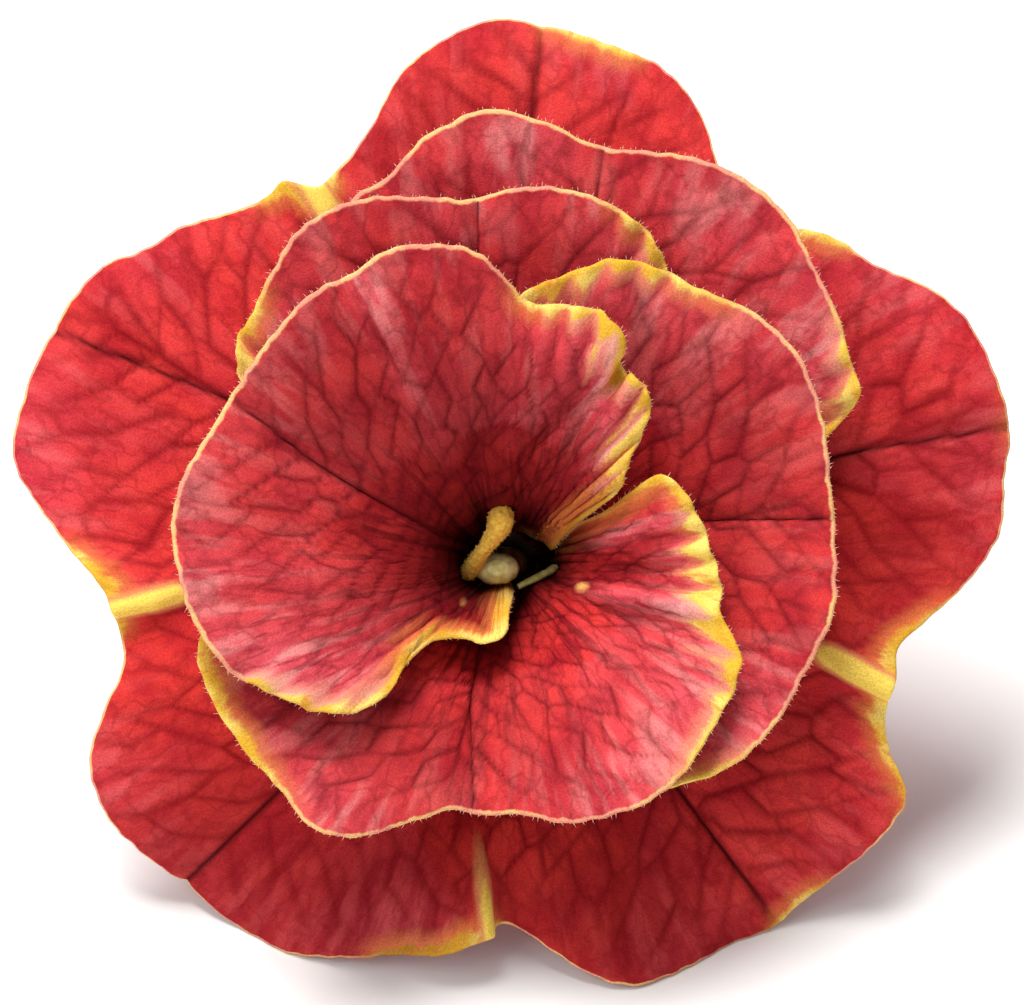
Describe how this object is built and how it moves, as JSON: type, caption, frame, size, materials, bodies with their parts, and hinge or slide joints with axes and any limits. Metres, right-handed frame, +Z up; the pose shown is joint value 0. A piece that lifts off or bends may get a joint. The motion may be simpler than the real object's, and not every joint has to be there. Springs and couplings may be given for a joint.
{
  "type": "double calibrachoa flower",
  "caption": "Picked double flower with a ruffled red funnel of fused lobes, a nest of petal-like inner blades with yellow margins, pistil, green calyx and short stalk.",
  "frame": {"origin": "centre of the flower's bounding box in X and Y, at the level of the surface it lies on", "axes": "+Z up; +X to the right across the flower's face, its longest extent; the face looks out along -Y and up"},
  "size_m": [0.0382, 0.0314, 0.0273],
  "materials": {
    "outer_petal": "velvety red petal with dark veins and midribs, yellow pleats between the lobes",
    "inner_petal": "velvety crimson petal with dark veins, dark at the throat, pale to yellow margins",
    "pistil": "moist yellow-green stigma on a pale style",
    "anther": "matte orange, finely hairy",
    "filament": "satin pale green",
    "sepal": "matte green leaf, finely hairy",
    "stalk": "matte green stem, finely hairy"
  },
  "bodies": {
    "root": {"outer_corolla": "outer_petal", "inner_petal_back": "inner_petal", "inner_petal_top": "inner_petal", "inner_petal_right": "inner_petal", "inner_petal_bottom": "inner_petal", "inner_petal_left": "inner_petal", "pistil": "pistil", "anther": "anther", "filament": "filament", "sepal_1": "sepal", "sepal_2": "sepal", "sepal_3": "sepal", "sepal_4": "sepal", "sepal_5": "sepal", "pedicel": "stalk"}
  },
  "joints": []
}
